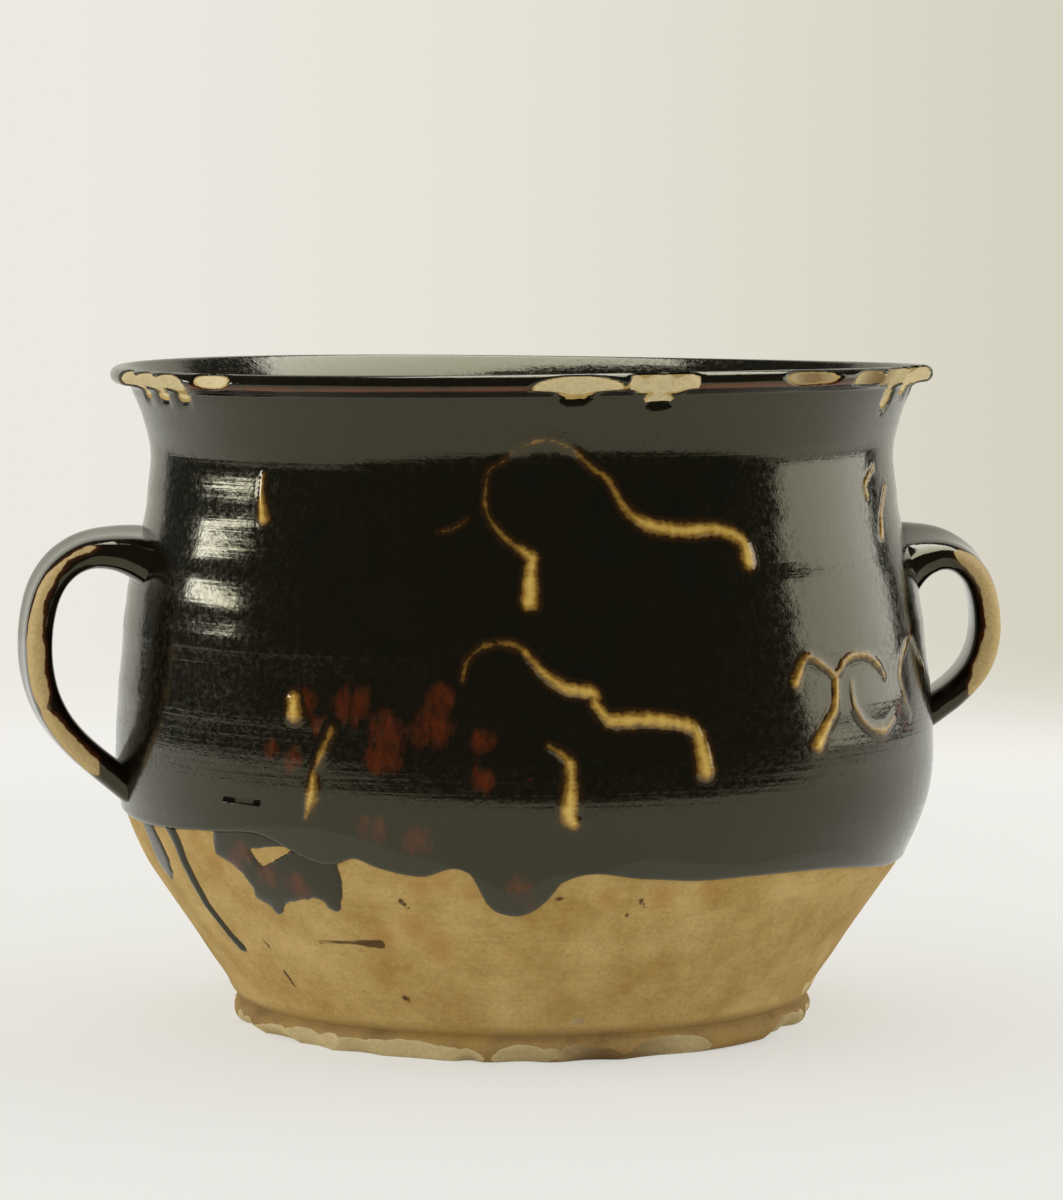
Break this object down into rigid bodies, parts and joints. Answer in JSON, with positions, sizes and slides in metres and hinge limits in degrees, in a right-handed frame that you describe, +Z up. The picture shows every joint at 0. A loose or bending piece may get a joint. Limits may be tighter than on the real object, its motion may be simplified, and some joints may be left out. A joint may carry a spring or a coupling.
{
  "type": "posset pot",
  "caption": "Two-handled earthenware posset pot with a rolled rim, drawn-in neck, full belly and bare foot; dark glazed coat over clay with trailed yellow slip.",
  "frame": {"origin": "centre of the flat underside of the foot, on the pot's axis, in the plane it rests on", "axes": "+Z up along the pot's axis, X through the two handles, -Y the front with the slip trails"},
  "size_m": [0.253, 0.2109, 0.168],
  "materials": {
    "clay": "matt, unglazed",
    "coat": "glossy lead glaze",
    "slip": "glossy lead glaze"
  },
  "bodies": {
    "root": {"pot_body": "clay", "outer_coat": "coat", "inner_coat": "coat", "left_handle": "coat", "right_handle": "coat", "left_run": "coat", "left_splash": "coat", "front_droop": "coat", "back_droop": "coat", "upper_swag": "slip", "upper_swag_drip": "slip", "upper_dash": "slip", "lower_swag": "slip", "centre_drip": "slip", "left_drop": "slip", "left_spot": "slip", "left_streak": "slip", "right_scroll": "slip", "scroll_drip": "slip", "right_loop": "slip", "right_oval": "slip", "right_drops": "slip", "back_upper_swag": "slip", "back_lower_swag": "slip", "back_scroll": "slip", "back_drops": "slip"}
  },
  "joints": []
}
